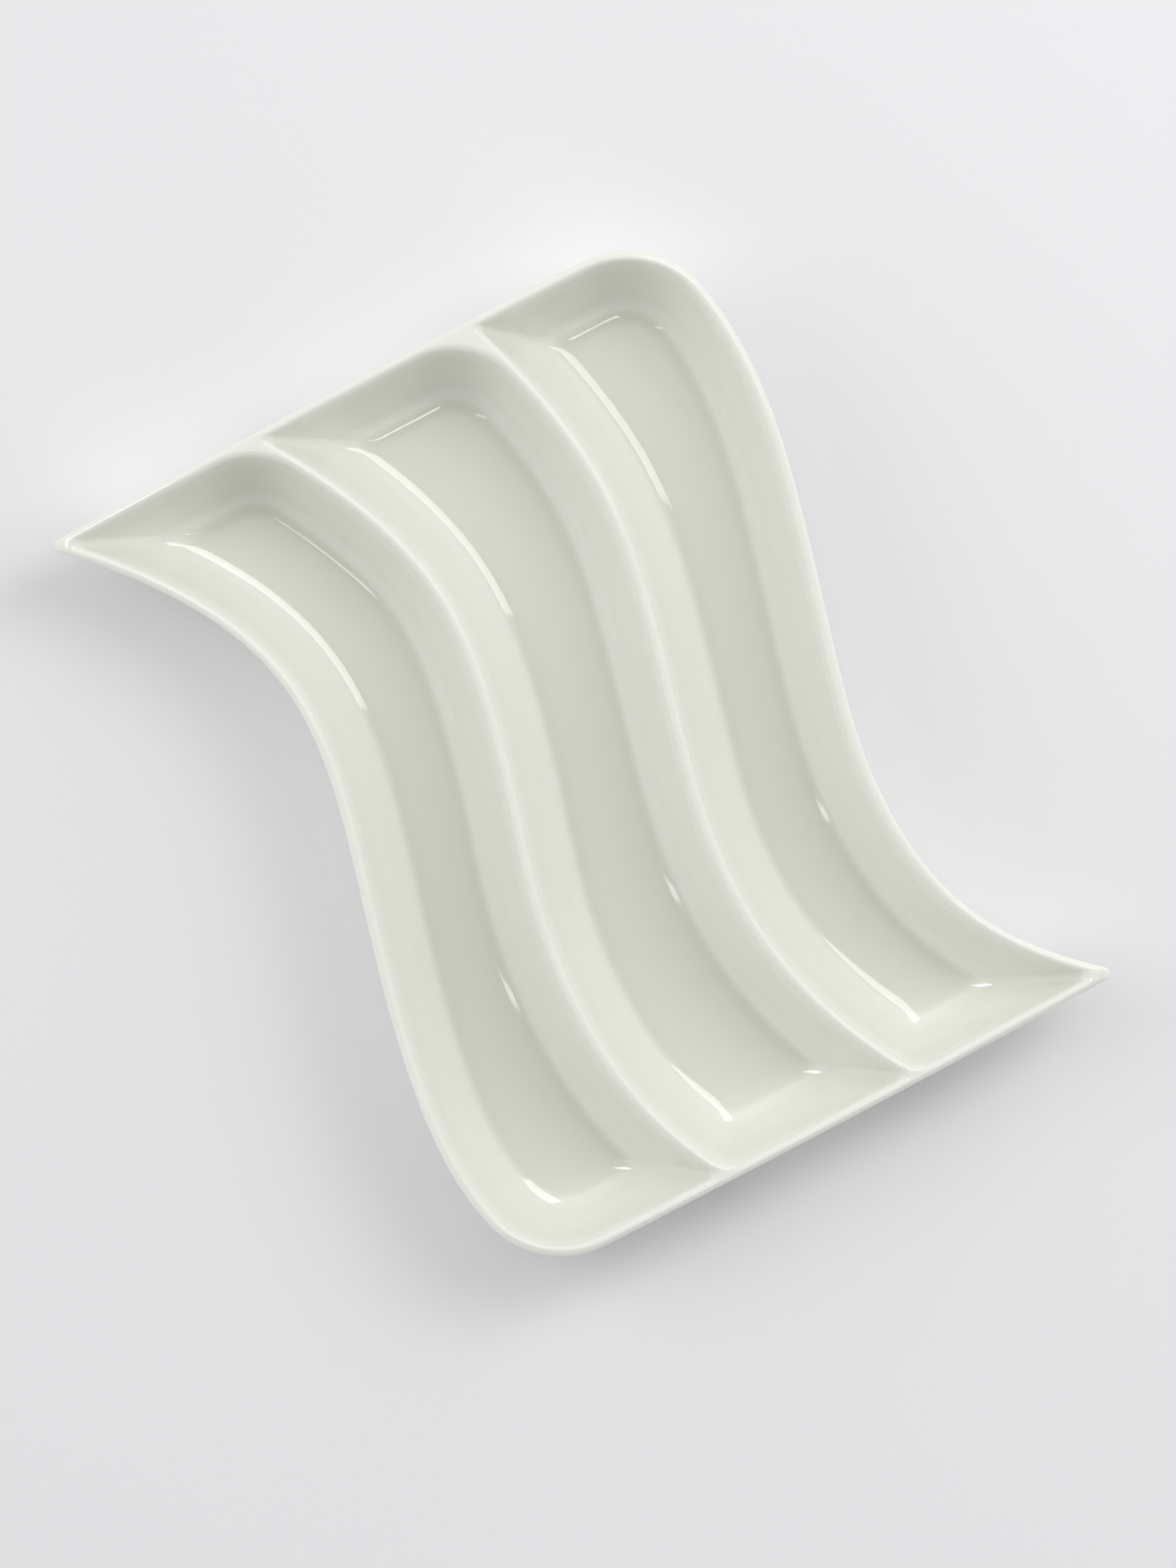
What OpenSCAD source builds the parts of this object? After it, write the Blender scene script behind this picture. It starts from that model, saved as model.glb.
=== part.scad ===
// Relish tray of glazed porcelain: three S-curved wells side by side, parted by
// two S-curved dividers level with the rim, with a low foot under each well.
// The origin is on the table under the middle of the tray, with +Z up. The two
// short ends are straight and face +Y and -Y; the long S-curved sides face +X and -X.

/* [Tray] */
// Length from one short end to the other
tray_length = 250; // [200:1:320]
// Width between the two pointed corners
tray_width = 209; // [180:1:260]
// Height from the table to the top of the rim
tray_height = 34; // [28:0.5:42]
// How far the short ends bow out in their middle
end_bow = 1; // [0.5:0.1:2]

/* [Walls] */
// Width of the rim and of the dividers, across their rounded shoulders
rim_width = 3.2; // [2.8:0.1:4.4]
// Width of the flat land along the top of the rim and dividers
rim_land = 0.4; // [0.2:0.1:1]
// Lean of a wall from upright just under its shoulder, in degrees
top_lean = 8; // [6:1:11]
// Lean of a wall from upright just above its fillet, in degrees
foot_lean = 30; // [26:1:33]
// Thickness of the floors
floor_thickness = 4; // [3:0.1:5]
// Radius where a wall runs into a floor
floor_fillet = 7.5; // [6:0.1:9]
// Gap between two neighbouring walls under a divider, where they part
wall_seam = 0.4; // [0.2:0.1:0.8]

/* [Outer corners] */
// Radius of the two rounded corners of the tray
outer_bend_radius = 27; // [20:1:32]
// Radius of the two pointed corners of the tray
outer_tip_radius = 2; // [1.2:0.1:3.5]

/* [Well corners] */
// Radius at the mouth, inside the rounded corners of the tray
bend_radius = 24; // [18:1:28]
// Radius at the floor, inside the rounded corners of the tray
bend_floor_radius = 12; // [9:0.5:13]
// Radius at the mouth where a divider meets the +Y end in a wide angle
back_joint_radius = 22; // [16:1:26]
// Radius at the floor where a divider meets the +Y end in a wide angle
back_joint_floor_radius = 11; // [8:0.5:12]
// Radius at the mouth where a divider meets the -Y end in a wide angle
front_joint_radius = 9; // [6:0.5:14]
// Radius at the floor where a divider meets the -Y end in a wide angle
front_joint_floor_radius = 6; // [4:0.5:9]
// Radius at the mouth of the narrow corners of the wells
notch_radius = 1.6; // [1:0.1:3]
// Radius at the floor of the narrow corners of the wells
notch_floor_radius = 2.4; // [1.6:0.1:4]

/* [Feet] */
// Height of the foot under each well
foot_height = 2; // [1.2:0.1:4]
// Width over the outside of the foot under the left and the right well
foot_spread = 11; // [10:0.5:13]
// Width over the outside of the foot under the middle well
middle_foot_spread = 16; // [13:0.5:19]
// Width of a foot's own wall
foot_width = 3; // [2:0.1:3.2]
// Radius of a foot's outer corners
foot_corner_radius = 4.2; // [3.6:0.1:5]
// Distance from the end of a well's flat underside to its foot
foot_end_margin = 4; // [2:0.5:8]

/* [Hidden] */

half_length = tray_length / 2;
half_width = tray_width / 2;
rim_half = rim_width / 2;
shoulder_radius = (rim_width - rim_land) / 2;

// Radius of a corner of an underside, as a share of the same corner's at the floor
base_corner_share = 0.75;

// Where each long curve crosses nine even steps from the -Y end to the +Y end, as
// shares of half the width: the tray's left edge, the middle of the left divider,
// the middle of the right divider, and the tray's right edge.
left_edge_shares = [-0.735, -0.83, -0.82, -0.765, -0.69, -0.625, -0.63, -0.77, -1.027];
left_divider_shares = [-0.165, -0.295, -0.325, -0.295, -0.215, -0.15, -0.135, -0.225, -0.395];
right_divider_shares = [0.415, 0.265, 0.2, 0.215, 0.28, 0.35, 0.39, 0.355, 0.265];
right_edge_shares = [1.0285, 0.765, 0.68, 0.69, 0.76, 0.835, 0.895, 0.9, 0.825];

// Counts of steps along a side, round a corner, along an end, and over a profile.
// The corner count is even, because the dividers are cut off halfway round corners.
side_steps = 22;
corner_steps = 6;
end_steps = 3;
shoulder_steps = 4;
edge_steps = 6;
wall_steps = 2;
fillet_steps = 5;
seek_steps = 16;

// Places of the parts of a ring of points: it runs up the left side, round to the
// +Y end, down the right side and back along the -Y end.
back_start = side_steps + corner_steps;
back_end = back_start + end_steps;
right_start = back_end + corner_steps;
right_end = right_start + side_steps;
front_start = right_end + corner_steps;
front_end = front_start + end_steps;
ring_count = front_end + corner_steps;
back_left_mid = side_steps + corner_steps / 2;
back_right_mid = back_end + corner_steps / 2;
front_right_mid = right_end + corner_steps / 2;
front_left_mid = front_end + corner_steps / 2;

// In section every wall lies between two circles round wall_centre, so its lean grows
// from the shoulder to the foot. Places are [distance inwards from the crest, height].
floor_z = foot_height + floor_thickness;
wall_top_run = rim_land / 2 + shoulder_radius * cos(top_lean);
wall_top_z = tray_height - shoulder_radius * (1 - sin(top_lean));
wall_radius = (wall_top_z - floor_z - floor_fillet * (1 - sin(foot_lean)))
    / (sin(foot_lean) - sin(top_lean));
wall_centre = [wall_top_run, wall_top_z] + wall_radius * [cos(top_lean), sin(top_lean)];
edge_reach = wall_centre - [-rim_land / 2, tray_height - shoulder_radius];
edge_lean = atan2(edge_reach[1], edge_reach[0]);
outer_radius = norm(edge_reach) + shoulder_radius;
wall_thickness = outer_radius - wall_radius;

// The rim and the dividers reach down to where two neighbouring walls part
parting_lean = acos((wall_centre[0] - wall_seam / 2) / outer_radius);
parting_z = wall_centre[1] - outer_radius * sin(parting_lean);
inner_parting_lean = asin((wall_centre[1] - parting_z) / wall_radius);

// Fillets from a wall's inner face to the floor, and from its outer face to the underside
base_fillet = floor_fillet + floor_thickness;
base_lean = asin((wall_centre[1] - foot_height - base_fillet) / (outer_radius - base_fillet));
floor_centre = wall_centre - (wall_radius - floor_fillet) * [cos(foot_lean), sin(foot_lean)];
base_centre = wall_centre - (outer_radius - base_fillet) * [cos(base_lean), sin(base_lean)];

// Points of a profile round a centre, from one lean to another
function turned(centre, radius, from, to, steps) = [
    for (k = [0 : steps])
        let (a = from + (to - from) * k / steps)
            centre - radius * [cos(a), sin(a)]
];
function shoulder(turn, steps) = [
    for (k = [0 : steps])
        let (a = turn * (1 - k / steps))
            [rim_land / 2 + shoulder_radius * sin(a), tray_height - shoulder_radius * (1 - cos(a))]
];
function joined(a, b) = concat(a, part(b, 1, len(b) - 1));

mouth_profile = joined(
    turned(wall_centre, wall_radius, inner_parting_lean, top_lean, wall_steps),
    shoulder(90 - top_lean, shoulder_steps));
edge_profile = joined(
    [for (p = turned(wall_centre, outer_radius, parting_lean, edge_lean, wall_steps)) [-p[0], p[1]]],
    shoulder(90 + edge_lean, edge_steps));
inner_profile = joined(
    turned(wall_centre, wall_radius, inner_parting_lean, foot_lean, wall_steps),
    turned(floor_centre, floor_fillet, foot_lean, 90, fillet_steps));
outer_profile = joined(
    turned(wall_centre, outer_radius, parting_lean, base_lean, wall_steps),
    turned(base_centre, base_fillet, base_lean, 90, fillet_steps));
floor_run = inner_profile[len(inner_profile) - 1][0];
base_run = outer_profile[len(outer_profile) - 1][0];

// Control values of a smooth curve that runs through the given shares
function bend_at(shares, i) =
    let (k = min(max(i, 1), len(shares) - 2))
        shares[k - 1] - 2 * shares[k] + shares[k + 1];
function curve_of(shares) =
    let (c = [for (i = [0 : len(shares) - 1]) shares[i] - bend_at(shares, i) / 6],
        n = len(c) - 1)
        concat([3 * c[0] - 3 * c[1] + c[2]], c, [3 * c[n] - 3 * c[n - 1] + c[n - 2]]);

left_edge = curve_of(left_edge_shares);
left_divider_line = curve_of(left_divider_shares);
right_divider_line = curve_of(right_divider_shares);
right_edge = curve_of(right_edge_shares);

// Place and slope of a long curve: x, and the change of x with y, at a given y
function curve_at(curve, y) =
    let (spans = len(curve) - 3,
        u = (y / half_length + 1) / 2 * spans,
        i = min(max(floor(u), 0), spans - 1),
        t = u - i,
        s = 1 - t,
        place_weights = [s * s * s, 3 * t * t * t - 6 * t * t + 4,
            3 * s * s * s - 6 * s * s + 4, t * t * t] / 6,
        slope_weights = [-s * s, 3 * t * t - 4 * t, 4 * s - 3 * s * s, t * t] / 2,
        values = [for (k = [0 : 3]) curve[i + k]])
        [values * place_weights * half_width,
            values * slope_weights * spans * half_width / tray_length];

// Point beside a long curve at y, a distance away on its +X side
function beside(curve, y, distance) =
    let (c = curve_at(curve, y), l = sqrt(1 + c[1] * c[1]))
        [c[0] + distance / l, y - distance * c[1] / l];

// Value of y at which the point beside the curve lies at the height target_y
function seek(curve, distance, target_y, y, steps) =
    steps == 0 ? y :
    let (slope = curve_at(curve, y)[1])
        seek(curve, distance, target_y,
            target_y + distance * slope / sqrt(1 + slope * slope), steps - 1);

function arc(centre, radius, from, to) = [
    for (k = [0 : corner_steps])
        let (a = from + (to - from) * k / corner_steps)
            centre + radius * [cos(a), sin(a)]
];
function side(curve, distance, from, to) = [
    for (k = [0 : side_steps])
        beside(curve, from + (to - from) * k / side_steps, distance)
];
function between(a, b, shares) = [for (s = shares) a + (b - a) * s];
function part(list, from, to) = [for (i = [from : 1 : to]) list[i]];

// The short ends bow out: each point moves towards the middle as it nears a side
function bowed(p, z) =
    let (share = p[0] / half_width)
        [p[0], p[1] * (1 - end_bow / half_length * share * share), z];

// Ring of points at one height between a left and a right curve, each with its
// inset, and two straight ends with theirs. The radii are those of the four corners:
// front left, back left, back right and front right.
function ring(left, left_inset, right, right_inset, end_inset, radii, z, back_shares, front_shares) =
    let (y_end = half_length - end_inset,
        front_left = seek(left, left_inset + radii[0], radii[0] - y_end, radii[0] - y_end, seek_steps),
        back_left = seek(left, left_inset + radii[1], y_end - radii[1], y_end - radii[1], seek_steps),
        back_right = seek(right, -right_inset - radii[2], y_end - radii[2], y_end - radii[2],
            seek_steps),
        front_right = seek(right, -right_inset - radii[3], radii[3] - y_end, radii[3] - y_end,
            seek_steps),
        front_left_arc = arc(beside(left, front_left, left_inset + radii[0]), radii[0],
            270, 180 - atan(curve_at(left, front_left)[1])),
        back_left_arc = arc(beside(left, back_left, left_inset + radii[1]), radii[1],
            180 - atan(curve_at(left, back_left)[1]), 90),
        back_right_arc = arc(beside(right, back_right, -right_inset - radii[2]), radii[2],
            90, -atan(curve_at(right, back_right)[1])),
        front_right_arc = arc(beside(right, front_right, -right_inset - radii[3]), radii[3],
            -atan(curve_at(right, front_right)[1]), -90),
        points = concat(
            side(left, left_inset, front_left, back_left),
            part(back_left_arc, 1, corner_steps),
            between(back_left_arc[corner_steps], back_right_arc[0], back_shares),
            back_right_arc,
            part(side(right, -right_inset, back_right, front_right), 1, side_steps),
            part(front_right_arc, 1, corner_steps),
            between(front_right_arc[corner_steps], front_left_arc[0], front_shares),
            part(front_left_arc, 0, corner_steps - 1)))
        [for (p = points) bowed(p, z)];

// Each well has its two long curves, each with the distance of the crest from it, the
// radii of its corners at the mouth, at the floor and outside, and its foot's width.
wells = [
    [left_edge, rim_half, left_divider_line, 0,
        [bend_radius, notch_radius, back_joint_radius, notch_radius],
        [bend_floor_radius, notch_floor_radius, back_joint_floor_radius, notch_floor_radius],
        [outer_bend_radius, outer_tip_radius, back_joint_radius, notch_radius + wall_thickness],
        foot_spread],
    [left_divider_line, 0, right_divider_line, 0,
        [front_joint_radius, notch_radius, back_joint_radius, notch_radius],
        [front_joint_floor_radius, notch_floor_radius, back_joint_floor_radius, notch_floor_radius],
        [front_joint_radius + wall_thickness, notch_radius + wall_thickness,
            back_joint_radius, notch_radius + wall_thickness],
        middle_foot_spread],
    [right_divider_line, 0, right_edge, rim_half,
        [front_joint_radius, notch_radius, bend_radius, notch_radius],
        [front_joint_floor_radius, notch_floor_radius, bend_floor_radius, notch_floor_radius],
        [front_joint_radius + wall_thickness, notch_radius + wall_thickness,
            outer_bend_radius, outer_tip_radius],
        foot_spread]
];

// Ring of a well, or of its outside, at one point of a profile
function well_ring(well, run, z, radii) =
    ring(well[0], well[1] + run, well[2], well[3] + run, rim_half + run, radii, z,
        even_shares, even_shares);
even_shares = [for (k = [1 : end_steps - 1]) k / end_steps];

function inner_ring(well, p) =
    let (share = max(p[0] - rim_half, 0) / (floor_run - rim_half))
        well_ring(well, p[0], p[1], well[4] + (well[5] - well[4]) * share);
function outer_ring(well, p) =
    let (share = (p[0] - wall_seam / 2) / (base_run - wall_seam / 2))
        well_ring(well, p[0], p[1], well[6] + (well[5] * base_corner_share - well[6]) * share);

// The rim's outer edge has its points beside those of the wells' mouths
mouth_rings = [for (well = wells) [for (p = mouth_profile) inner_ring(well, p)]];
function round_mouths(level) =
    let (a = mouth_rings[0][level], b = mouth_rings[1][level], c = mouth_rings[2][level])
        concat(part(a, 0, back_right_mid), part(b, back_left_mid, back_right_mid),
            part(c, back_left_mid, front_left_mid), part(b, front_right_mid, front_left_mid),
            part(a, front_right_mid, ring_count - 1));
top_chain = round_mouths(len(mouth_profile) - 1);
across_steps = 3 * end_steps + 2 * corner_steps + 2;
function chain_shares(start) =
    let (first = top_chain[start][0], last = top_chain[start + across_steps][0])
        [for (i = [1 : across_steps - 1]) (top_chain[start + i][0] - first) / (last - first)];
back_chain_shares = chain_shares(back_start);
front_chain_shares =
    chain_shares(back_start + across_steps + 2 * corner_steps + side_steps);
function edge_ring(p) =
    ring(left_edge, rim_half - p[0], right_edge, rim_half - p[0], rim_half - p[0],
        [outer_bend_radius, outer_tip_radius, outer_bend_radius, outer_tip_radius], p[1],
        back_chain_shares, front_chain_shares);

// Faces between each ring and the next, and from the last to the first if closed.
// Every four-sided face is cut in two from its first corner, as it may not be level.
function halved(quads) = [for (q = quads) for (k = [1, 2]) [q[0], q[k], q[k + 1]]];
function band_faces(rings, count, closed) = halved([
    for (r = [0 : rings - (closed ? 1 : 2)])
        for (i = [0 : count - 1])
            let (a = r * count, b = (r + 1) % rings * count, j = (i + 1) % count)
                [a + i, a + j, b + j, b + i]
]);
function flipped(faces) = [for (f = faces) [for (i = [len(f) - 1 : -1 : 0]) f[i]]];
function shifted(faces, by) = [for (f = faces) [for (i = f) i + by]];
function flat(lists) = [for (list = lists) for (item = list) item];

// Level cap of a well's ring: rungs from side to side, and one fan at each end
cap_faces = concat(
    [for (i = [0 : side_steps - 1]) [i, i + 1, right_end - i - 1, right_end - i]],
    [[for (i = [side_steps : right_start]) i]],
    [[for (i = [right_end : ring_count]) i % ring_count]]);

module well_shell(well) {
    rings = concat([for (i = [len(outer_profile) - 1 : -1 : 0]) outer_ring(well, outer_profile[i])],
        [for (p = inner_profile) inner_ring(well, p)]);
    polyhedron(flat(rings), concat(
        flipped(cap_faces),
        band_faces(len(rings), ring_count, false),
        shifted(cap_faces, (len(rings) - 1) * ring_count)));
}

// Upper part of a divider, between the mouths of a well and of the next one
module divider(index) {
    a = mouth_rings[index];
    b = mouth_rings[index + 1];
    levels = len(mouth_profile);
    stations = side_steps + corner_steps + 1;
    loops = [for (s = [0 : stations - 1]) concat(
        [for (k = [0 : levels - 1]) a[k][back_right_mid + s]],
        [for (k = [levels - 1 : -1 : 0]) b[k][(back_left_mid - s + ring_count) % ring_count]])];
    last = 2 * levels - 1;
    polyhedron(flat(loops), concat(
        halved([for (k = [0 : levels - 2]) [last - k, last - k - 1, k + 1, k]]),
        band_faces(stations, last + 1, false),
        shifted(halved([for (k = [0 : levels - 2]) [k, k + 1, last - k - 1, last - k]]),
            (stations - 1) * (last + 1))));
}

// Ring of even width on the table, along the middle of a well's flat underside
module foot(well) {
    middle = (well[0] + well[2]) / 2;
    shift = (well[1] - well[3]) / 2;
    spread = well[7] / 2;
    function loop(inset, radius) =
        ring(middle, inset - spread + shift, middle, inset - spread - shift,
            rim_half + base_run + foot_end_margin + inset, [for (k = [0 : 3]) radius], 0,
            even_shares, even_shares);
    points = concat(loop(0, foot_corner_radius), loop(foot_width, foot_corner_radius - foot_width));
    linear_extrude(height = foot_height)
        polygon([for (p = points) [p[0], p[1]]],
            paths = [[for (i = [0 : ring_count - 1]) i],
                [for (i = [0 : ring_count - 1]) i + ring_count]]);
}

glaze_colour = [0.87, 0.88, 0.82];
bare_clay_colour = [0.85, 0.81, 0.73];

module rim() {
    rings = concat([for (p = edge_profile) edge_ring(p)],
        [for (k = [len(mouth_profile) - 1 : -1 : 0]) round_mouths(k)]);
    color(glaze_colour) polyhedron(flat(rings), band_faces(len(rings), len(rings[0]), true));
}
module left_divider() color(glaze_colour) divider(0);
module right_divider() color(glaze_colour) divider(1);
module left_well() color(glaze_colour) well_shell(wells[0]);
module middle_well() color(glaze_colour) well_shell(wells[1]);
module right_well() color(glaze_colour) well_shell(wells[2]);
module left_foot() color(bare_clay_colour) foot(wells[0]);
module middle_foot() color(bare_clay_colour) foot(wells[1]);
module right_foot() color(bare_clay_colour) foot(wells[2]);

rim();
left_divider();
right_divider();
left_well();
middle_well();
right_well();
left_foot();
middle_foot();
right_foot();
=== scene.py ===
"""Relish tray of glazed porcelain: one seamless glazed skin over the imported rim,
dividers and wells, three bare clay foot rings, a pale floor and studio light.
Sizes are in millimetres and are scaled to metres when a mesh is made."""
import math

import bmesh
import bpy
import numpy as np
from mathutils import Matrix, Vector


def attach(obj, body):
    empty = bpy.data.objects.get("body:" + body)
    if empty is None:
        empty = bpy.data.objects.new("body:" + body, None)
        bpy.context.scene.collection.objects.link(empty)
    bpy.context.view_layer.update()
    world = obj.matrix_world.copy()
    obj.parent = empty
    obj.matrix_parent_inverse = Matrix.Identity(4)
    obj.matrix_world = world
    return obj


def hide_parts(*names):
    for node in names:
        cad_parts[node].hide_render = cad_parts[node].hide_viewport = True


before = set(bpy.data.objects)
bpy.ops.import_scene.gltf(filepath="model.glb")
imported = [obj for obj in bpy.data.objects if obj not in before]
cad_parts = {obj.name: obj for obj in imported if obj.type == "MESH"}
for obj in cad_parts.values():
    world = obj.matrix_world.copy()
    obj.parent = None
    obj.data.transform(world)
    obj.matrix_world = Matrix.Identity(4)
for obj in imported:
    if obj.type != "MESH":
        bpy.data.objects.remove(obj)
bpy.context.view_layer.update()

MM = 0.001

# Sizes
TRAY_LENGTH = 250.0
TRAY_WIDTH = 209.0
TRAY_HEIGHT = 34.0
END_BOW = 1.0
RIM_WIDTH = 3.2
RIM_LAND = 0.4
TOP_LEAN = math.radians(8.0)
FOOT_LEAN = math.radians(30.0)
FLOOR_THICKNESS = 4.0
FLOOR_FILLET = 7.5
BASE_CORNER_SHARE = 0.75
CREST_LAND = 0.1
INNER_CREST_LEAN = math.radians(9.4)
OUTER_CREST_LEAN = math.radians(8.3)
FOOT_FILLET = 4.5
FLOOR_DISH_RADIUS = 15.0
FLOOR_DISH_LEAN = math.radians(62.0)
WALL_SEAM = 0.4
OUTER_BEND_RADIUS = 27.0
OUTER_TIP_RADIUS = 2.0
BEND_RADIUS = 24.0
BEND_FLOOR_RADIUS = 12.0
BACK_JOINT_RADIUS = 22.0
BACK_JOINT_FLOOR_RADIUS = 11.0
FRONT_JOINT_RADIUS = 9.0
FRONT_JOINT_FLOOR_RADIUS = 6.0
NOTCH_RADIUS = 1.6
NOTCH_FLOOR_RADIUS = 2.4
FOOT_HEIGHT = 2.0
FOOT_SPREAD = 11.0
MIDDLE_FOOT_SPREAD = 16.0
FOOT_WIDTH = 3.0
FOOT_CORNER_RADIUS = 4.2
FOOT_END_MARGIN = 4.0
FOOT_EDGE_RADIUS = 0.5
FOOT_EDGE_STEPS = 4

# Where each long curve crosses nine even steps from -Y to +Y, as shares of half the width
LEFT_EDGE_SHARES = [-0.735, -0.83, -0.82, -0.765, -0.69, -0.625, -0.63, -0.77, -1.027]
LEFT_DIVIDER_SHARES = [-0.165, -0.295, -0.325, -0.295, -0.215, -0.15, -0.135, -0.225, -0.395]
RIGHT_DIVIDER_SHARES = [0.415, 0.265, 0.2, 0.215, 0.28, 0.35, 0.39, 0.355, 0.265]
RIGHT_EDGE_SHARES = [1.0285, 0.765, 0.68, 0.69, 0.76, 0.835, 0.895, 0.9, 0.825]

HALF_LENGTH = TRAY_LENGTH / 2
HALF_WIDTH = TRAY_WIDTH / 2
RIM_HALF = RIM_WIDTH / 2
SHOULDER_RADIUS = (RIM_WIDTH - RIM_LAND) / 2
FLOOR_Z = FOOT_HEIGHT + FLOOR_THICKNESS


def at_angle(angle):
    return np.array([math.cos(angle), math.sin(angle)])


# In section each wall lies between two circles round WALL_CENTRE. Places in a section
# are (distance inwards from the crest, height), and leans are measured from upright.
WALL_TOP = np.array([RIM_LAND / 2 + SHOULDER_RADIUS * math.cos(TOP_LEAN),
                     TRAY_HEIGHT - SHOULDER_RADIUS * (1 - math.sin(TOP_LEAN))])
WALL_RADIUS = ((WALL_TOP[1] - FLOOR_Z - FLOOR_FILLET * (1 - math.sin(FOOT_LEAN)))
               / (math.sin(FOOT_LEAN) - math.sin(TOP_LEAN)))
WALL_CENTRE = WALL_TOP + WALL_RADIUS * at_angle(TOP_LEAN)
EDGE_REACH = WALL_CENTRE - [-RIM_LAND / 2, TRAY_HEIGHT - SHOULDER_RADIUS]
OUTER_RADIUS = float(np.hypot(*EDGE_REACH)) + SHOULDER_RADIUS
WALL_THICKNESS = OUTER_RADIUS - WALL_RADIUS
PARTING_LEAN = math.acos((WALL_CENTRE[0] - WALL_SEAM / 2) / OUTER_RADIUS)
BASE_FILLET = FLOOR_FILLET + FLOOR_THICKNESS
BASE_LEAN = math.asin((WALL_CENTRE[1] - FOOT_HEIGHT - BASE_FILLET)
                      / (OUTER_RADIUS - BASE_FILLET))
FLOOR_RUN = float((WALL_CENTRE - (WALL_RADIUS - FLOOR_FILLET) * at_angle(FOOT_LEAN))[0])
BASE_CENTRE = WALL_CENTRE - (OUTER_RADIUS - BASE_FILLET) * at_angle(BASE_LEAN)

# Inside, a tight fillet leads from the wall into a wide one that runs out in the floor
FOOT_Z = (FLOOR_Z + FLOOR_DISH_RADIUS
          - (FLOOR_DISH_RADIUS - FOOT_FILLET) * math.sin(FLOOR_DISH_LEAN))
WALL_FOOT_LEAN = math.asin((WALL_CENTRE[1] - FOOT_Z) / (WALL_RADIUS - FOOT_FILLET))
FOOT_CENTRE = WALL_CENTRE - (WALL_RADIUS - FOOT_FILLET) * at_angle(WALL_FOOT_LEAN)
DISH_CENTRE = FOOT_CENTRE + (FLOOR_DISH_RADIUS - FOOT_FILLET) * at_angle(FLOOR_DISH_LEAN)

# Steps along a side, round a corner, along an end, over a shoulder, down a wall, over a fillet
SIDE, CORNER, END, SHOULDER, WALL, FILLET = 96, 14, 14, 12, 12, 14
BACK_START = SIDE + CORNER
BACK_END = BACK_START + END
RIGHT_START = BACK_END + CORNER
RIGHT_END = RIGHT_START + SIDE
FRONT_START = RIGHT_END + CORNER
FRONT_END = FRONT_START + END
RING = FRONT_END + CORNER
BACK_LEFT_MID = SIDE + CORNER // 2
BACK_RIGHT_MID = BACK_END + CORNER // 2
FRONT_RIGHT_MID = RIGHT_END + CORNER // 2
FRONT_LEFT_MID = FRONT_END + CORNER // 2
EVEN = np.arange(1, END) / END
SEEK_STEPS = 16


# Curves and rings
class Curve:
    """Smooth curve x(y) that runs through nine shares, in millimetres."""

    def __init__(self, shares=None, controls=None):
        if controls is None:
            s = np.array(shares)
            bend = s[:-2] - 2 * s[1:-1] + s[2:]
            c = s - np.concatenate([bend[:1], bend, bend[-1:]]) / 6
            first, last = 3 * c[0] - 3 * c[1] + c[2], 3 * c[-1] - 3 * c[-2] + c[-3]
            controls = np.concatenate([[first], c, [last]])
        self.controls = controls

    def at(self, y):
        """x and its change with y"""
        spans = len(self.controls) - 3
        u = (np.asarray(y, float) / HALF_LENGTH + 1) / 2 * spans
        i = np.clip(np.floor(u).astype(int), 0, spans - 1)
        t = u - i
        s = 1 - t
        place = [s**3, 3 * t**3 - 6 * t**2 + 4, 3 * s**3 - 6 * s**2 + 4, t**3]
        slope = [-s * s, 3 * t * t - 4 * t, 4 * s - 3 * s * s, t * t]
        x = sum(w * self.controls[i + k] for k, w in enumerate(place)) / 6
        d = sum(w * self.controls[i + k] for k, w in enumerate(slope)) / 2
        return x * HALF_WIDTH, d * spans * HALF_WIDTH / TRAY_LENGTH

    def beside(self, y, distance):
        """Points a distance away from the curve, on its +X side"""
        x, slope = self.at(y)
        length = np.hypot(1, slope)
        return np.stack([x + distance / length, y - distance * slope / length], -1)

    def seek(self, distance, target_y):
        """y at which the point beside the curve lies at the height target_y"""
        y = target_y
        for _ in range(SEEK_STEPS):
            slope = self.at(y)[1]
            y = target_y + distance * slope / math.hypot(1, slope)
        return float(y)


def arc(centre, radius, start, stop):
    a = np.linspace(start, stop, CORNER + 1)
    return centre + radius * np.stack([np.cos(a), np.sin(a)], -1)


def between(a, b, shares):
    return a + (b - a) * np.asarray(shares)[:, None]


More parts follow.
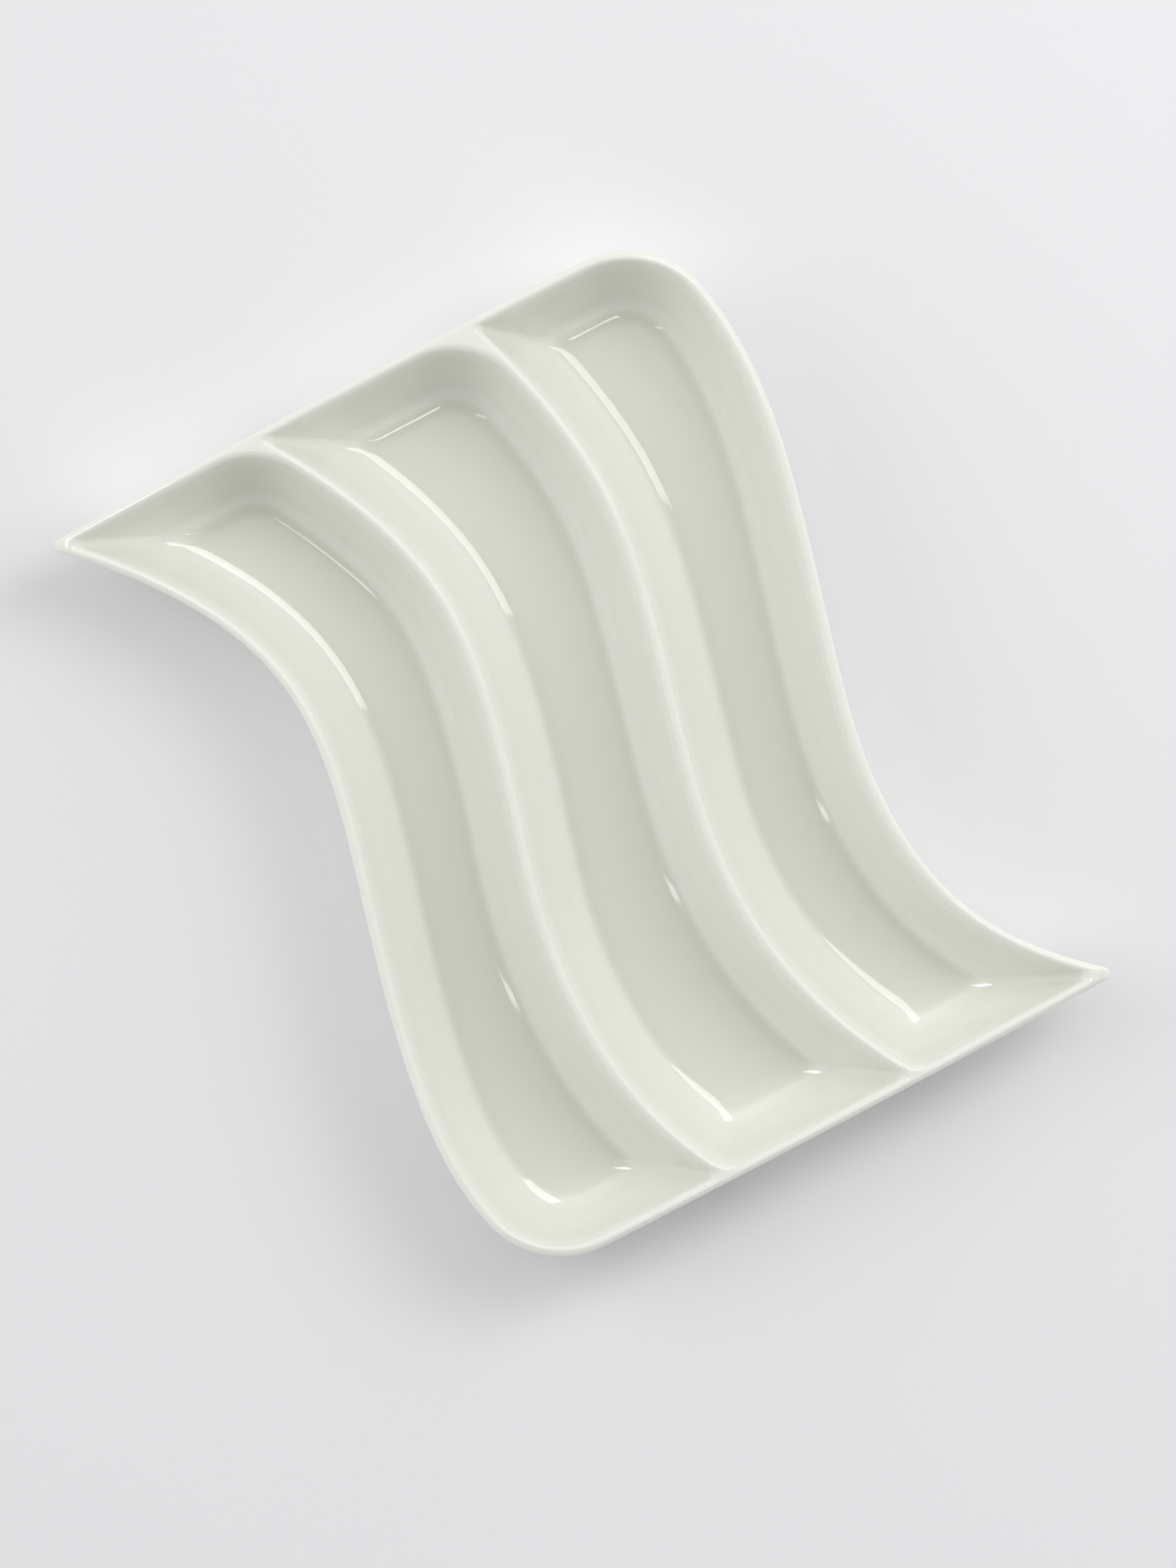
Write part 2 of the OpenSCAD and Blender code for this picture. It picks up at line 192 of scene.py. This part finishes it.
def ring(left, left_inset, right, right_inset, end_inset, radii, z, back=EVEN, front=EVEN):
    """Ring of points: up the left side, along the +Y end, down the right side, back.
    The radii are those of the front left, back left, back right and front right corner."""
    end = HALF_LENGTH - end_inset
    fl = left.seek(left_inset + radii[0], radii[0] - end)
    bl = left.seek(left_inset + radii[1], end - radii[1])
    br = right.seek(-right_inset - radii[2], end - radii[2])
    fr = right.seek(-right_inset - radii[3], radii[3] - end)
    fl_arc = arc(left.beside(fl, left_inset + radii[0]), radii[0],
                 1.5 * math.pi, math.pi - math.atan(left.at(fl)[1]))
    bl_arc = arc(left.beside(bl, left_inset + radii[1]), radii[1],
                 math.pi - math.atan(left.at(bl)[1]), 0.5 * math.pi)
    br_arc = arc(right.beside(br, -right_inset - radii[2]), radii[2],
                 0.5 * math.pi, -math.atan(right.at(br)[1]))
    fr_arc = arc(right.beside(fr, -right_inset - radii[3]), radii[3],
                 -math.atan(right.at(fr)[1]), -0.5 * math.pi)
    points = np.concatenate([
        left.beside(np.linspace(fl, bl, SIDE + 1), left_inset), bl_arc[1:],
        between(bl_arc[-1], br_arc[0], back), br_arc,
        right.beside(np.linspace(br, fr, SIDE + 1), -right_inset)[1:], fr_arc[1:],
        between(fr_arc[-1], fl_arc[0], front), fl_arc[:-1]])
    points[:, 1] *= 1 - END_BOW / HALF_LENGTH * (points[:, 0] / HALF_WIDTH) ** 2
    return np.column_stack([points, np.full(len(points), z)])


def crest(join, lean, steps):
    """Slice of an ellipse from the rim's land down to a wall that it joins smoothly"""
    across, down = join[0] - CREST_LAND / 2, TRAY_HEIGHT - join[1]
    turn = 2 * math.atan(math.sqrt(1 - 2 * down * math.tan(lean) / across))
    a = np.linspace(0, turn, steps + 1)
    return np.column_stack([CREST_LAND / 2 + across * np.sin(a) / math.sin(turn),
                            TRAY_HEIGHT - down * (1 - np.cos(a)) / (1 - math.cos(turn))])


def turned(centre, radius, start, stop, steps):
    """Slice of a profile round a centre, from one lean to another"""
    a = np.linspace(start, stop, steps + 1)
    return centre - radius * np.column_stack([np.cos(a), np.sin(a)])


def joined(*slices):
    return np.concatenate([slices[0]] + [s[1:] for s in slices[1:]])


LEFT = Curve(LEFT_EDGE_SHARES)
DIVIDER_A = Curve(LEFT_DIVIDER_SHARES)
DIVIDER_B = Curve(RIGHT_DIVIDER_SHARES)
RIGHT = Curve(RIGHT_EDGE_SHARES)
MOUTH = [BEND_RADIUS, NOTCH_RADIUS, BACK_JOINT_RADIUS, NOTCH_RADIUS]
FLOOR = [BEND_FLOOR_RADIUS, NOTCH_FLOOR_RADIUS, BACK_JOINT_FLOOR_RADIUS, NOTCH_FLOOR_RADIUS]
NOTCH_OUTSIDE = NOTCH_RADIUS + WALL_THICKNESS
JOINT_OUTSIDE = FRONT_JOINT_RADIUS + WALL_THICKNESS
WELLS = [
    dict(name="left", left=LEFT, left_crest=RIM_HALF, right=DIVIDER_A, right_crest=0.0,
         crest=[OUTER_BEND_RADIUS, OUTER_TIP_RADIUS, BACK_JOINT_RADIUS, NOTCH_RADIUS],
         mouth=MOUTH, floor=FLOOR, spread=FOOT_SPREAD,
         outside=[OUTER_BEND_RADIUS, OUTER_TIP_RADIUS, BACK_JOINT_RADIUS, NOTCH_OUTSIDE]),
    dict(name="middle", left=DIVIDER_A, left_crest=0.0, right=DIVIDER_B, right_crest=0.0,
         crest=[FRONT_JOINT_RADIUS, NOTCH_RADIUS, BACK_JOINT_RADIUS, NOTCH_RADIUS],
         mouth=[FRONT_JOINT_RADIUS, NOTCH_RADIUS, BACK_JOINT_RADIUS, NOTCH_RADIUS],
         floor=[FRONT_JOINT_FLOOR_RADIUS, NOTCH_FLOOR_RADIUS, BACK_JOINT_FLOOR_RADIUS,
                NOTCH_FLOOR_RADIUS], spread=MIDDLE_FOOT_SPREAD,
         outside=[JOINT_OUTSIDE, NOTCH_OUTSIDE, BACK_JOINT_RADIUS, NOTCH_OUTSIDE]),
    dict(name="right", left=DIVIDER_B, left_crest=0.0, right=RIGHT, right_crest=RIM_HALF,
         crest=[FRONT_JOINT_RADIUS, NOTCH_RADIUS, OUTER_BEND_RADIUS, OUTER_TIP_RADIUS],
         mouth=[FRONT_JOINT_RADIUS, NOTCH_RADIUS, BEND_RADIUS, NOTCH_RADIUS],
         floor=[FRONT_JOINT_FLOOR_RADIUS, NOTCH_FLOOR_RADIUS, BEND_FLOOR_RADIUS,
                NOTCH_FLOOR_RADIUS], spread=FOOT_SPREAD,
         outside=[JOINT_OUTSIDE, NOTCH_OUTSIDE, OUTER_BEND_RADIUS, OUTER_TIP_RADIUS]),
]

# Profiles run downwards from the land, or from where two neighbouring walls part
LEVEL = math.pi / 2
inner_wall = turned(WALL_CENTRE, WALL_RADIUS, INNER_CREST_LEAN, WALL_FOOT_LEAN, WALL)
edge_wall = turned(WALL_CENTRE, OUTER_RADIUS, OUTER_CREST_LEAN, PARTING_LEAN, WALL // 2)
edge_wall = edge_wall * [-1, 1]
inner_profile = joined(
    crest(inner_wall[0], INNER_CREST_LEAN, SHOULDER), inner_wall,
    turned(FOOT_CENTRE, FOOT_FILLET, WALL_FOOT_LEAN, FLOOR_DISH_LEAN, FILLET // 2),
    turned(DISH_CENTRE, FLOOR_DISH_RADIUS, FLOOR_DISH_LEAN, LEVEL, FILLET))
edge_profile = joined(crest(edge_wall[0], -OUTER_CREST_LEAN, SHOULDER), edge_wall)
outer_profile = joined(
    turned(WALL_CENTRE, OUTER_RADIUS, PARTING_LEAN, BASE_LEAN, WALL),
    turned(BASE_CENTRE, BASE_FILLET, BASE_LEAN, LEVEL, FILLET))
BASE_RUN = outer_profile[-1][0]


def mixed(a, b, share):
    return [x + (y - x) * share for x, y in zip(a, b)]


def well_ring(well, run, z, radii):
    return ring(well["left"], well["left_crest"] + run, well["right"],
                well["right_crest"] + run, RIM_HALF + run, radii, z)


def inner_ring(well, p):
    if p[0] < RIM_HALF:
        radii = mixed(well["crest"], well["mouth"], p[0] / RIM_HALF)
        return well_ring(well, p[0], p[1], radii)
    share = (p[0] - RIM_HALF) / (FLOOR_RUN - RIM_HALF)
    return well_ring(well, p[0], p[1], mixed(well["mouth"], well["floor"], share))


def outer_ring(well, p):
    share = (p[0] - WALL_SEAM / 2) / (BASE_RUN - WALL_SEAM / 2)
    base = [r * BASE_CORNER_SHARE for r in well["floor"]]
    return well_ring(well, p[0], p[1], mixed(well["outside"], base, share))


# Glazed skin

# Distance in metres within which vertices are joined
WELD_DISTANCE = 1e-6


class Skin:
    """Vertices and faces of one mesh, gathered ring by ring."""

    def __init__(self):
        self.points, self.faces, self.count = [], [], 0

    def add(self, ring_points):
        first = self.count
        self.points.append(ring_points)
        self.count += len(ring_points)
        return np.arange(first, self.count)

    def band(self, a, b):
        """Faces between two closed rows of vertices; a runs with the face on its left"""
        n = len(a)
        for i in range(n):
            j = (i + 1) % n
            self.faces.append((a[i], a[j], b[j], b[i]))

    def stack(self, rows):
        for a, b in zip(rows, rows[1:]):
            self.band(a, b)

    def zipped(self, a, b):
        """Level triangles between two rows; each step goes to the next vertex further back"""
        depth = np.concatenate(self.points)[:, 1]
        i = j = 0
        while i < len(a) - 1 or j < len(b) - 1:
            if j == len(b) - 1 or (i < len(a) - 1 and depth[a[i + 1]] > depth[b[j + 1]]):
                self.faces.append((a[i], a[i + 1], b[j]))
                i += 1
            else:
                self.faces.append((a[i], b[j + 1], b[j]))
                j += 1

    def cap(self, row, up):
        """Level faces over a ring: rungs from side to side and one face at each end"""
        faces = [(row[i], row[i + 1], row[RIGHT_END - i - 1], row[RIGHT_END - i])
                 for i in range(SIDE)]
        faces.append(tuple(row[SIDE:RIGHT_START + 1]))
        faces.append(tuple(row[i % RING] for i in range(RIGHT_END, RING + 1)))
        self.faces += [f[::-1] for f in faces] if up else faces

    def mesh(self, name):
        data = bpy.data.meshes.new(name)
        data.from_pydata((np.concatenate(self.points) * MM).tolist(), [],
                         [tuple(int(i) for i in f) for f in self.faces])
        bm = bmesh.new()
        bm.from_mesh(data)
        bmesh.ops.remove_doubles(bm, verts=bm.verts, dist=WELD_DISTANCE)
        bmesh.ops.dissolve_degenerate(bm, edges=bm.edges, dist=WELD_DISTANCE)
        bmesh.ops.recalc_face_normals(bm, faces=bm.faces)
        bm.to_mesh(data)
        bm.free()
        data.shade_smooth()
        piece = bpy.data.objects.new(name, data)
        bpy.context.scene.collection.objects.link(piece)
        return piece


def round_rows(rows):
    """The outer way round three rings of one level, which skips the dividers' sides"""
    a, b, c = rows
    return np.concatenate([
        a[:BACK_RIGHT_MID + 1], b[BACK_LEFT_MID:BACK_RIGHT_MID + 1],
        c[BACK_LEFT_MID:FRONT_LEFT_MID + 1], b[FRONT_RIGHT_MID:FRONT_LEFT_MID + 1],
        a[FRONT_RIGHT_MID:]])


def chain_shares(chain, start, steps):
    first, last = chain[start][0], chain[start + steps][0]
    return (chain[start + 1:start + steps, 0] - first) / (last - first)


# Steps of the outer way round along one end, and the step at which its -Y end starts
ACROSS = 3 * END + 2 * CORNER + 2
FRONT_CHAIN = BACK_START + ACROSS + 2 * CORNER + SIDE


def edge_ring(p, chain):
    inset = RIM_HALF - p[0]
    radii = [OUTER_BEND_RADIUS, OUTER_TIP_RADIUS] * 2
    return ring(LEFT, inset, RIGHT, inset, inset, radii, p[1],
                chain_shares(chain, BACK_START, ACROSS),
                chain_shares(chain, FRONT_CHAIN, ACROSS))


def divider_strip(skin, a, b):
    """Level faces along a divider, between a ring and the next well's ring"""
    steps = SIDE + CORNER + 1
    left = [a[BACK_RIGHT_MID + s] for s in range(steps)]
    right = [b[(BACK_LEFT_MID - s) % RING] for s in range(steps)]
    skin.zipped(left, right)


def glazed_skin():
    skin = Skin()
    inner_points = [[inner_ring(w, p) for p in inner_profile] for w in WELLS]
    outer_points = [[outer_ring(w, p) for p in outer_profile] for w in WELLS]
    inner = [[skin.add(r) for r in rings] for rings in inner_points]
    outer = [[skin.add(r) for r in rings] for rings in outer_points]
    for rows in inner:
        skin.stack(rows)
        skin.cap(rows[-1], True)
    for rows in outer:
        skin.stack(rows)
        skin.cap(rows[-1], False)
    top_chain = round_rows([r[0] for r in inner_points])
    low_chain = round_rows([r[0] for r in outer_points])
    edge = []
    for i, p in enumerate(edge_profile):
        share = i / (len(edge_profile) - 1)
        edge.append(skin.add(edge_ring(p, top_chain + (low_chain - top_chain) * share)))
    skin.stack(edge)
    skin.band(edge[0], round_rows([r[0] for r in inner]))
    skin.band(edge[-1], round_rows([r[0] for r in outer]))
    for level in (inner, outer):
        divider_strip(skin, level[0][0], level[1][0])
        divider_strip(skin, level[1][0], level[2][0])
    return skin.mesh("glazed_body")


def foot_ring(well):
    """Bare clay ring under a well, with its edges rounded over"""
    middle = Curve(controls=(well["left"].controls + well["right"].controls) / 2)
    shift = (well["left_crest"] - well["right_crest"]) / 2
    half_spread = well["spread"] / 2
    end = RIM_HALF + BASE_RUN + FOOT_END_MARGIN

    def loop(inset, z):
        radius = FOOT_CORNER_RADIUS - inset
        return ring(middle, inset - half_spread + shift, middle, inset - half_spread - shift,
                    end + inset, [radius] * 4, z)

    skin = Skin()
    turn = np.linspace(0, math.pi / 2, FOOT_EDGE_STEPS + 1)
    rounding = [(FOOT_EDGE_RADIUS * (1 - math.cos(a)), FOOT_EDGE_RADIUS * (1 - math.sin(a)))
                for a in turn]
    outline = [(0.0, FOOT_HEIGHT)] + rounding
    outline += [(FOOT_WIDTH - inset, z) for inset, z in reversed(rounding)]
    outline.append((FOOT_WIDTH, FOOT_HEIGHT))
    rows = [skin.add(loop(inset, z)) for inset, z in outline]
    skin.stack(rows)
    skin.band(rows[-1], rows[0])
    return skin.mesh(well["name"] + "_foot_ring")


body = glazed_skin()
feet = [foot_ring(w) for w in WELLS]


# Materials
class Nodes:
    """Short way to add and link shader nodes"""

    def __init__(self, material):
        material.use_nodes = True
        self.tree = material.node_tree
        self.tree.nodes.clear()

    def add(self, kind, inputs=None, **settings):
        node = self.tree.nodes.new(kind)
        for name, value in settings.items():
            setattr(node, name, value)
        for name, value in (inputs or {}).items():
            if isinstance(value, bpy.types.NodeSocket):
                self.tree.links.new(value, node.inputs[name])
            else:
                node.inputs[name].default_value = value
        return node


def srgb(r, g, b):
    """Linear colour of an sRGB one written in 0 to 255"""
    def channel(v):
        v /= 255
        return v / 12.92 if v <= 0.04045 else ((v + 0.055) / 1.055) ** 2.4
    return (channel(r), channel(g), channel(b), 1.0)


# Heights in metres between which the pools on the floors end, with their painted shade, the
# walls go from painted light low down to painted shade high up, and the crests' tone, partly
# painted shade, begins
POOL_AND_SHADE_FULL, POOL_AND_SHADE_TOP = 0.0062, 0.0072
WALL_PAINTED_SHADING_LOW, WALL_PAINTED_SHADING_HIGH = 0.009, 0.026
CREST_GLAZE_AND_SHADE_START, CREST_GLAZE_AND_SHADE_FULL = 0.031, 0.0335

# Glaze pools, with painted shade on the deep floors, only where the upward part of the normal
# is more than this
UPWARD = 0.5

# Two sRGB tones between which each region is clouded, and the one of the crests
# Painted light and shade: the low walls' tones are lighter and the high walls' darker
PAINTED_LIGHT_LOW_WALL_TONES = (239, 240, 232), (241, 242, 234)
PAINTED_SHADE_HIGH_WALL_TONES = (232, 233, 225), (234, 235, 227)
# Deeper tone of pooled glaze, partly painted shade of the deep floors
POOL_AND_SHADE_TONES = (219, 221, 209), (222, 223, 212)
# Greyer tone of thin glaze on the crests, partly painted shade that darkens them
THIN_GLAZE_AND_SHADE_CREST_TONE = (230, 230, 223)
CLAY_TONES = (214, 205, 184), (232, 225, 208)
FLOOR_TONES = (231, 231, 233), (233, 233, 235)


def blend(n, factor, a, b):
    return n.add("ShaderNodeMix", {"Factor": factor, "A": a, "B": b},
                 data_type="RGBA").outputs["Result"]


def clouded(n, cloud, tones):
    return blend(n, cloud, srgb(*tones[0]), srgb(*tones[1]))


def rise(n, value, low, high):
    """0 to 1 as a value goes from low to high"""
    return n.add("ShaderNodeMapRange", {"Value": value, "From Min": low, "From Max": high},
                 interpolation_type="SMOOTHSTEP").outputs["Result"]


def glaze_material():
    """Ivory glaze: walls painted lighter low and darker high, crests greyer and painted
    darker, floors deeper with pooled glaze and painted shade
    """
    material = bpy.data.materials.new("ivory_glaze")
    n = Nodes(material)
    coords = n.add("ShaderNodeTexCoord").outputs
    height = n.add("ShaderNodeSeparateXYZ", {"Vector": coords["Object"]}).outputs["Z"]
    facing_up = n.add("ShaderNodeSeparateXYZ", {"Vector": coords["Normal"]}).outputs["Z"]
    cloud = n.add("ShaderNodeTexNoise", {"Vector": coords["Object"], "Scale": 22.0,
                                         "Detail": 3.0, "Roughness": 0.5}).outputs["Fac"]
    # Painted light and shade: the walls are lighter low down and darker high up
    wall = blend(n, rise(n, height, WALL_PAINTED_SHADING_LOW, WALL_PAINTED_SHADING_HIGH),
                 clouded(n, cloud, PAINTED_LIGHT_LOW_WALL_TONES), clouded(n, cloud, PAINTED_SHADE_HIGH_WALL_TONES))
    upward = n.add("ShaderNodeMath", {0: facing_up, 1: UPWARD},
                   operation="GREATER_THAN").outputs["Value"]
    # The floors are deepened by pooled glaze and by painted shade
    pool_and_shade = n.add("ShaderNodeMath", {0: rise(n, height, POOL_AND_SHADE_TOP, POOL_AND_SHADE_FULL), 1: upward},
                   operation="MULTIPLY").outputs["Value"]
    tone = blend(n, pool_and_shade, wall, clouded(n, cloud, POOL_AND_SHADE_TONES))
    # The crests take the greyer tone of thin glaze, darkened with painted shade
    tone = blend(n, rise(n, height, CREST_GLAZE_AND_SHADE_START, CREST_GLAZE_AND_SHADE_FULL), tone, srgb(*THIN_GLAZE_AND_SHADE_CREST_TONE))
    ripple = n.add("ShaderNodeTexNoise", {"Vector": coords["Object"], "Scale": 60.0,
                                          "Detail": 2.0, "Roughness": 0.4})
    bump = n.add("ShaderNodeBump", {"Height": ripple.outputs["Fac"], "Strength": 0.005,
                                    "Distance": 0.002})
    shader = n.add("ShaderNodeBsdfPrincipled", {
        "Base Color": tone, "Roughness": 0.05, "IOR": 1.5, "Normal": bump.outputs["Normal"]})
    n.add("ShaderNodeOutputMaterial", {"Surface": shader.outputs["BSDF"]})
    return material


def clay_material():
    material = bpy.data.materials.new("bare_clay")
    n = Nodes(material)
    place = n.add("ShaderNodeTexCoord").outputs["Object"]
    grain = n.add("ShaderNodeTexNoise", {"Vector": place, "Scale": 900.0, "Detail": 4.0,
                                         "Roughness": 0.6}).outputs["Fac"]
    bump = n.add("ShaderNodeBump", {"Height": grain, "Strength": 0.25, "Distance": 0.0004})
    shader = n.add("ShaderNodeBsdfPrincipled", {
        "Base Color": clouded(n, grain, CLAY_TONES), "Roughness": 0.85, "IOR": 1.45,
        "Normal": bump.outputs["Normal"]})
    n.add("ShaderNodeOutputMaterial", {"Surface": shader.outputs["BSDF"]})
    return material


body.data.materials.append(glaze_material())
clay = clay_material()
for foot in feet:
    foot.data.materials.append(clay)

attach(body, "root")
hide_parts("rim", "left_divider", "right_divider",
            "left_well", "middle_well", "right_well")
for foot, well in zip(feet, WELLS):
    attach(foot, "root")
    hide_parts(well["name"] + "_foot")


# Floor, light, camera
def floor_material():
    material = bpy.data.materials.new("pale_floor")
    n = Nodes(material)
    place = n.add("ShaderNodeTexCoord").outputs["Object"]
    cloud = n.add("ShaderNodeTexNoise", {"Vector": place, "Scale": 2.0,
                                         "Detail": 1.0}).outputs["Fac"]
    shader = n.add("ShaderNodeBsdfPrincipled", {
        "Base Color": clouded(n, cloud, FLOOR_TONES), "Roughness": 0.9,
        "Specular IOR Level": 0.2})
    n.add("ShaderNodeOutputMaterial", {"Surface": shader.outputs["BSDF"]})
    return material


FLOOR_REACH = 4.0
floor_mesh = bpy.data.meshes.new("studio_floor")
floor_mesh.from_pydata([(FLOOR_REACH * x, FLOOR_REACH * y, 0)
                        for x, y in ((-1, -1), (1, -1), (1, 1), (-1, 1))],
                       [], [(0, 1, 2, 3)])
floor = bpy.data.objects.new("studio_floor", floor_mesh)
floor_mesh.materials.append(floor_material())
bpy.context.scene.collection.objects.link(floor)


def area_lamp(name, place, target, width, height, radiance, diffuse=True, glossy=True):
    """Lamp panel at a place that faces a target, with its width level; places in metres.
    It may light matt surfaces, show in glossy ones, or both."""
    back = Vector(place) - Vector(target)
    data = bpy.data.lights.new(name, "AREA")
    data.shape = "RECTANGLE"
    data.size, data.size_y = width, height
    data.energy = radiance * math.pi * width * height
    lamp = bpy.data.objects.new(name, data)
    lamp.location = place
    lamp.rotation_mode = "QUATERNION"
    lamp.rotation_quaternion = back.to_track_quat("Z", "Y")
    lamp.visible_diffuse, lamp.visible_glossy = diffuse, glossy
    bpy.context.scene.collection.objects.link(lamp)


# Each lamp is (name, place, target, width, height, radiance). Three panels light the scene.
# The highlights in the glaze come from four others, which light nothing else.
PANELS = [
    ("softbox", (0.75, 0.247, 1.087), (0.0, 0.247, 0.0), 0.40, 0.73, 3.5),
    ("right_panel", (0.99, 0.0, 0.99), (0.0, 0.0, 0.0), 0.70, 0.70, 2.08),
    ("back_panel", (-0.70, 0.70, 0.99), (0.0, 0.0, 0.0), 0.70, 0.70, 1.58),
]
HIGHLIGHTS = [
    ("long_panel", (0.60, 0.452, 1.10), (0.0, 0.452, 0.0), 0.816, 0.34, 5.2),
    ("top_panel", (-0.185, 0.31, 1.10), (-0.185, 0.0, 0.0), 0.18, 0.26, 9.0),
    ("short_strip", (0.01, -0.33, 1.10), (0.01, 0.0, 0.0), 0.16, 0.08, 8.0),
    ("side_strip", (-0.50, -0.035, 1.10), (-0.50, -0.035, 0.0), 0.25, 0.03, 6.0),
]
for lamp in PANELS:
    area_lamp(*lamp, glossy=False)
for lamp in HIGHLIGHTS:
    area_lamp(*lamp, diffuse=False)

# Light tent: even light low down that fades overhead, with a dim lobe in front, a slightly
# dim one at the back and a bright one nearly overhead. A lobe is (azimuth and elevation in
# degrees, sharpness, strength at its middle). The numbers of the tent and the strengths of
# the three panels were fitted to the photograph's shading and then adjusted.
TENT_EVEN, TENT_TOP_DIP = 1.43, 2.45
TENT_LOBES = [(278, 18.5, 26.0, -2.43), (78, 20, 14.7, -0.7), (90, 80, 7.8, 2.46)]


def toward(azimuth, elevation):
    flat = math.cos(math.radians(elevation))
    return (flat * math.cos(math.radians(azimuth)), flat * math.sin(math.radians(azimuth)),
            math.sin(math.radians(elevation)))


world = bpy.data.worlds.new("light_tent")
bpy.context.scene.world = world
tent = Nodes(world)
direction = tent.add("ShaderNodeTexCoord").outputs["Generated"]
height = tent.add("ShaderNodeSeparateXYZ", {"Vector": direction}).outputs["Z"]
overhead = tent.add("ShaderNodeMath", {0: height, 1: height},
                    operation="MULTIPLY").outputs["Value"]
strength = tent.add("ShaderNodeMath", {0: overhead, 1: -TENT_TOP_DIP, 2: TENT_EVEN},
                    operation="MULTIPLY_ADD").outputs["Value"]
for azimuth, elevation, sharpness, lobe in TENT_LOBES:
    nearness = tent.add("ShaderNodeVectorMath", {0: direction, 1: toward(azimuth, elevation)},
                        operation="DOT_PRODUCT").outputs["Value"]
    power = tent.add("ShaderNodeMath", {0: nearness, 1: sharpness, 2: -sharpness},
                     operation="MULTIPLY_ADD").outputs["Value"]
    falloff = tent.add("ShaderNodeMath", {0: power}, operation="EXPONENT").outputs["Value"]
    strength = tent.add("ShaderNodeMath", {0: falloff, 1: lobe, 2: strength},
                        operation="MULTIPLY_ADD").outputs["Value"]
strength = tent.add("ShaderNodeMath", {0: strength, 1: 0.0},
                    operation="MAXIMUM").outputs["Value"]
backdrop = tent.add("ShaderNodeBackground", {
    "Color": (1.0, 1.0, 1.0, 1.0), "Strength": strength})
tent.add("ShaderNodeOutputWorld", {"Surface": backdrop.outputs["Background"]})

# The camera looks straight down; its height in metres is counted from the rim, where
# PIXELS_PER_METRE of the photograph show one metre
CAMERA_ROLL = math.radians(-27.7)
CAMERA_HEIGHT = 2.5
CAMERA_X, CAMERA_Y = -0.00168, -0.00687
SENSOR_SIZE = 36.0
VIEW_LIMIT = 20.0
PHOTO_HEIGHT_PIXELS = 2000
PIXELS_PER_METRE = 4516
FIELD = PHOTO_HEIGHT_PIXELS / PIXELS_PER_METRE
camera_data = bpy.data.cameras.new("camera")
camera_data.sensor_width = SENSOR_SIZE
camera_data.lens = SENSOR_SIZE * CAMERA_HEIGHT / FIELD
camera_data.clip_end = VIEW_LIMIT
camera = bpy.data.objects.new("camera", camera_data)
camera.location = (CAMERA_X, CAMERA_Y, TRAY_HEIGHT * MM + CAMERA_HEIGHT)
camera.rotation_euler = (0.0, 0.0, CAMERA_ROLL)
bpy.context.scene.collection.objects.link(camera)
bpy.context.scene.camera = camera
bpy.context.scene.view_settings.view_transform = "Standard"
